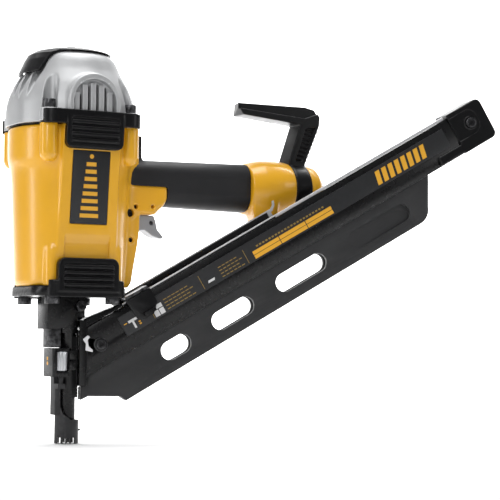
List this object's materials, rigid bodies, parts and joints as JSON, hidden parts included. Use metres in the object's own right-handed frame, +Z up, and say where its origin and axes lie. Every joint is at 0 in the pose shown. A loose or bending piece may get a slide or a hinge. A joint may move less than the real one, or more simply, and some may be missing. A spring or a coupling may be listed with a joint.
{
  "type": "pneumatic framing nail gun",
  "caption": "Pneumatic framing nail gun with canted stick magazine, rubber grip, swivel exhaust, contact foot and rafter hook.",
  "frame": {"origin": "on the drive axis at the tip of the contact foot", "axes": "+Z up the drive axis toward the cap, +X from the drive axis along the handle to the air inlet, magazine swung to the -Y side"},
  "size_m": [0.4756, 0.1645, 0.3667],
  "materials": {
    "yellow_paint": "satin yellow powder coat on cast magnesium",
    "cast_silver": "bead-blasted cast alloy, clear satin",
    "black_rubber": "matt moulded rubber",
    "black_paint": "satin black coat on cast and extruded alloy",
    "dark_plate": "matt charcoal coat",
    "black_plastic": "fine grained moulded plastic",
    "grey_cast": "as cast, tumbled",
    "bright_steel": "bright plated steel",
    "dark_steel": "black oxide steel",
    "label_black": "printed polyester label"
  },
  "bodies": {
    "tool": {"housing": "yellow_paint", "cylinder_cap": "cast_silver", "cap_gasket": "black_rubber", "cap_screw_1": "dark_steel", "cap_screw_2": "dark_steel", "cap_screw_3": "dark_steel", "cap_screw_4": "dark_steel", "flange_bolt_1": "dark_steel", "flange_bolt_2": "dark_steel", "flange_bolt_3": "dark_steel", "flange_bolt_4": "dark_steel", "upper_bumper_left": "black_rubber", "lower_bumper_left": "black_rubber", "nameplate_left": "label_black", "guide_bolt_left": "dark_steel", "label_panel_left": "label_black", "upper_bumper_right": "black_rubber", "lower_bumper_right": "black_rubber", "nameplate_right": "label_black", "guide_bolt_right": "dark_steel", "label_panel_right": "label_black", "grip_sleeve": "black_rubber", "deflector_bolt": "dark_steel", "head_valve_spring": "bright_steel", "cylinder_sleeve": "grey_cast", "driver_bumper": "black_rubber", "flange_gasket": "black_rubber", "nose_guide": "black_paint", "guide_cover": "black_paint", "contact_spring": "bright_steel", "trigger_pin": "dark_steel", "trigger_valve_body": "grey_cast", "handle_end_cap": "yellow_paint", "air_inlet": "bright_steel", "magazine_rail": "black_paint", "lower_guide": "dark_plate", "front_bracket": "black_paint", "front_bracket_bolt": "dark_steel", "rail_strip_near": "bright_steel", "rail_strip_far": "bright_steel", "magazine_end_cap": "black_plastic", "end_cap_screw": "dark_steel", "rear_bracket": "black_paint", "rear_bracket_bolt": "dark_steel"},
    "deflector": {"exhaust_deflector": "black_plastic"},
    "trigger": {"trigger": "grey_cast", "trip_pin": "dark_steel"},
    "trip_lever": {"trip_lever": "bright_steel"},
    "valve_stem": {"valve_stem": "bright_steel"},
    "contact_arm": {"upper_contact_arm": "dark_steel", "depth_frame": "black_paint"},
    "depth_wheel": {"depth_wheel": "bright_steel"},
    "contact_foot": {"contact_foot": "dark_plate"},
    "driver": {"piston": "grey_cast", "piston_ring": "black_rubber", "driver_blade": "bright_steel"},
    "head_valve": {"head_valve": "grey_cast"},
    "follower": {"follower": "dark_steel", "follower_latch": "black_plastic"},
    "rafter_hook": {"rafter_hook": "black_plastic"}
  },
  "joints": [
    {"name": "deflector_turn", "type": "hinge", "parent": "tool", "child": "deflector", "pos_m": [0, 0, 0.36], "axis": [0, 0, 1], "continuous": true},
    {"name": "trigger_pull", "type": "hinge", "parent": "tool", "child": "trigger", "pos_m": [0.0597, 0, 0.2195], "axis": [0, -1, 0], "range_deg": [0, 8], "stiffness_Nm_per_rad": 0.6, "springref_deg": -11.46},
    {"name": "trip_lever_swing", "type": "hinge", "parent": "trigger", "child": "trip_lever", "pos_m": [0.0802, 0, 0.2057], "axis": [0, 1, 0], "range_deg": [0, 8.2]},
    {"name": "valve_stem_slide", "type": "slide", "parent": "tool", "child": "valve_stem", "axis": [0, 0, 1], "range_m": [0, 0.0025]},
    {"name": "contact_arm_slide", "type": "slide", "parent": "tool", "child": "contact_arm", "axis": [0, 0, 1], "range_m": [0, 0.013], "stiffness_N_per_m": 400, "springref_m": -0.02, "deforming": ["contact_spring"]},
    {"name": "depth_wheel_turn", "type": "hinge", "parent": "contact_arm", "child": "depth_wheel", "pos_m": [-0.0098, -0.0096, 0.075], "axis": [0, 0, 1], "range_deg": [0, 360]},
    {"name": "foot_depth_slide", "type": "slide", "parent": "contact_arm", "child": "contact_foot", "axis": [0, 0, 1], "range_m": [0, 0.006]},
    {"name": "driver_stroke", "type": "slide", "parent": "tool", "child": "driver", "axis": [0, 0, -1], "range_m": [0, 0.0985]},
    {"name": "head_valve_lift", "type": "slide", "parent": "tool", "child": "head_valve", "axis": [0, 0, 1], "range_m": [0, 0.006], "stiffness_N_per_m": 1500, "springref_m": -0.01, "deforming": ["head_valve_spring"]},
    {"name": "follower_slide", "type": "slide", "parent": "tool", "child": "follower", "axis": [0.8428, -0.1791, 0.5075], "range_m": [0, 0.33], "stiffness_N_per_m": 20, "springref_m": -1},
    {"name": "hook_swing", "type": "hinge", "parent": "tool", "child": "rafter_hook", "pos_m": [0.237, 0, 0.2435], "axis": [1, 0, 0], "range_deg": [-100, 45]}
  ],
  "couplings": [
    {"joint": "trip_lever_swing", "follows": "contact_arm_slide", "rad_per_m": 10.7},
    {"joint": "valve_stem_slide", "follows": "trigger_pull", "m_per_rad": 0.0178},
    {"joint": "depth_wheel_turn", "follows": "foot_depth_slide", "rad_per_m": 1047}
  ]
}
